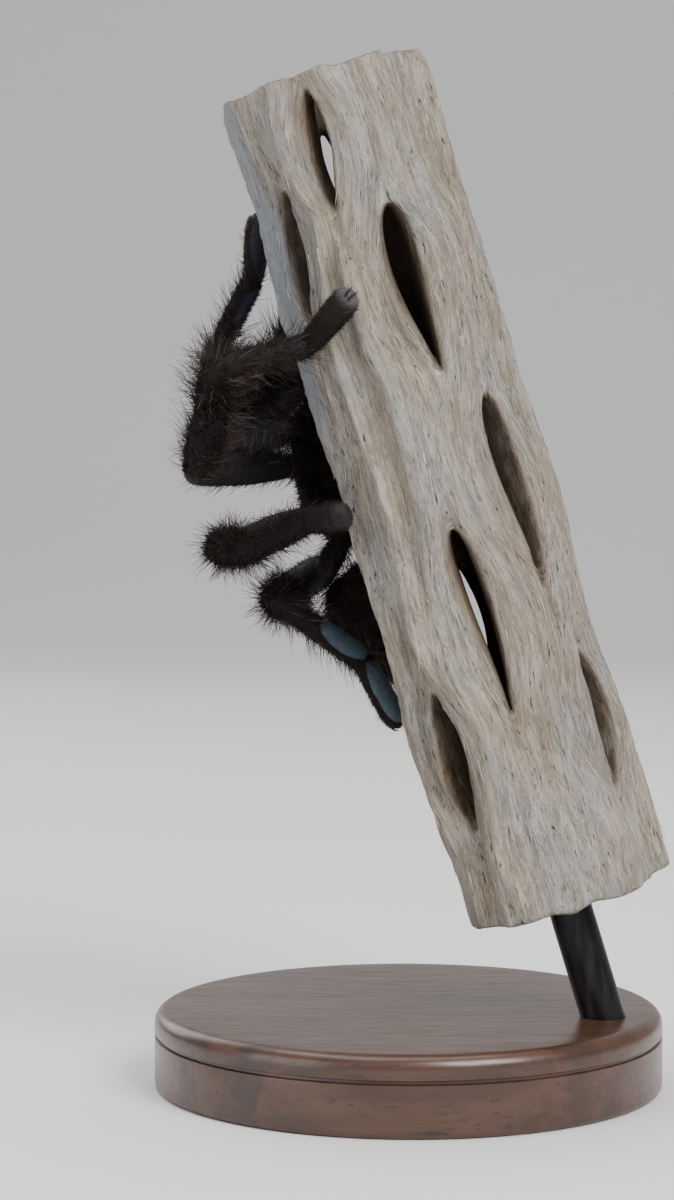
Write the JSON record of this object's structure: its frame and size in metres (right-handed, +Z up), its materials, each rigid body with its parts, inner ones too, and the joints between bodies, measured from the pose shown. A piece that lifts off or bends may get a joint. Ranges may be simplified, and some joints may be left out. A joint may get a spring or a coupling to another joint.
{
  "type": "tarantula model",
  "caption": "Life-size still model of a pink toe tarantula clinging to a leaning length of hollow weathered wood, held by a plain display stand.",
  "frame": {"origin": "centre of the underside of the display stand's round base", "axes": "+Z up; -Y towards the viewer, the side of the wood away from the animal; +X to the right, the side the wood's lower end leans to"},
  "size_m": [0.0525, 0.0522, 0.1053],
  "materials": {
    "coat": "black-brown velvety coat of short hairs over a leathery skin, with longer hairs on the legs",
    "fang": "glossy near-black horn",
    "eye": "glossy black lens",
    "perch_wood": "weathered grey-tan fibrous wood with elongated windows",
    "base_wood": "dark stained hardwood, satin",
    "rod_metal": "satin black"
  },
  "bodies": {
    "root": {"abdomen": "coat", "carapace": "coat", "sternum": "coat", "chelicera_left": "coat", "chelicera_right": "coat", "palp_left": "coat", "palp_right": "coat", "spinneret_left": "coat", "spinneret_right": "coat", "leg_left_1": "coat", "leg_left_2": "coat", "leg_left_3": "coat", "leg_left_4": "coat", "leg_right_1": "coat", "leg_right_2": "coat", "leg_right_3": "coat", "leg_right_4": "coat", "fang_left": "fang", "fang_right": "fang", "eye_anterior_median_left": "eye", "eye_anterior_median_right": "eye", "eye_anterior_lateral_left": "eye", "eye_anterior_lateral_right": "eye", "eye_posterior_lateral_left": "eye", "eye_posterior_lateral_right": "eye", "eye_posterior_median_left": "eye", "eye_posterior_median_right": "eye", "perch": "perch_wood", "stand_base": "base_wood", "stand_rod": "rod_metal"}
  },
  "joints": []
}
